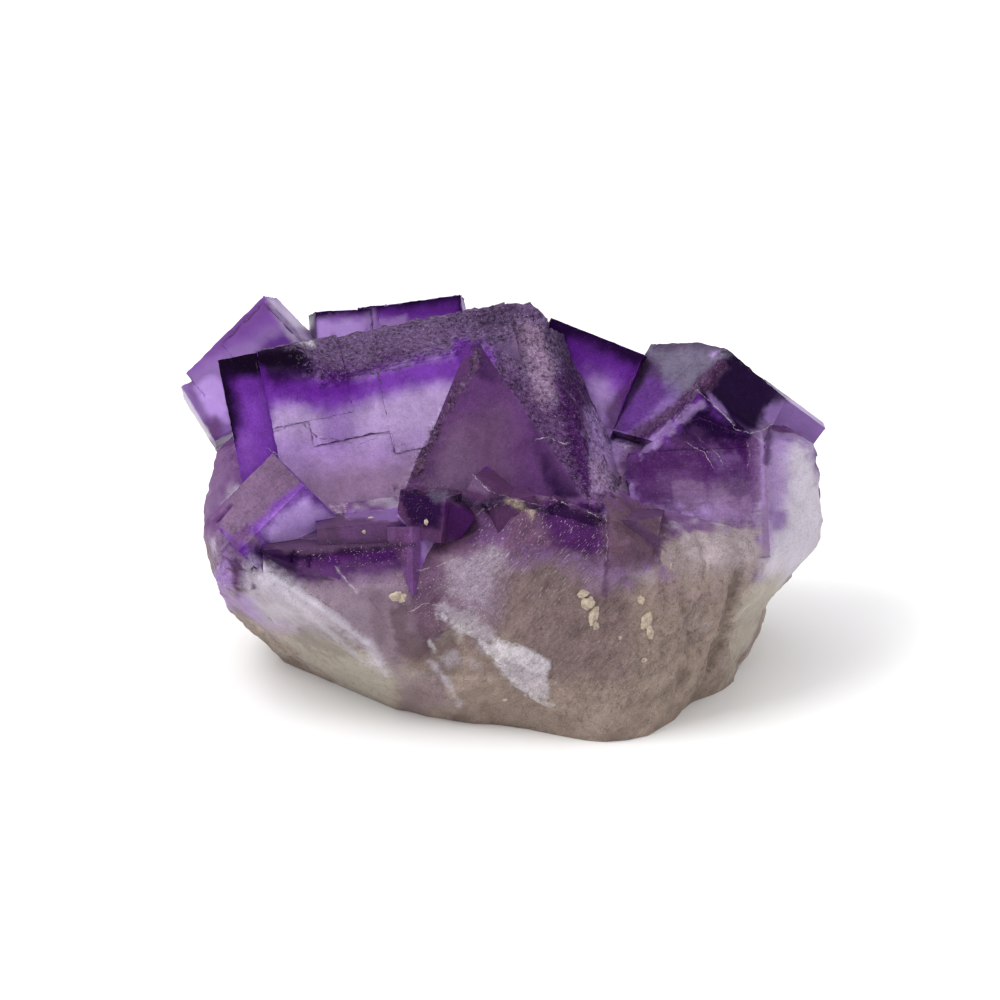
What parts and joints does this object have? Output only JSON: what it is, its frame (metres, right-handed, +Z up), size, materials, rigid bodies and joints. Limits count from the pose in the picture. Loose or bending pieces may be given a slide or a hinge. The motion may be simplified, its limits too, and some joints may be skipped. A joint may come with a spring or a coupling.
{
  "type": "cubic fluorite cluster",
  "caption": "Cluster of intergrown purple fluorite cubes on a lumpy, cloudy base that is cut off flat underneath.",
  "frame": {"origin": "under the middle of the cluster, on the flat cut that it rests on", "axes": "+X along its longest side, -Y towards the large flat crystal faces, +Z up"},
  "size_m": [0.0732, 0.0502, 0.0424],
  "materials": {
    "fluorite": "clear to milky purple crystal, partly etched"
  },
  "bodies": {
    "root": {"fluorite_cluster": "fluorite"}
  },
  "joints": []
}
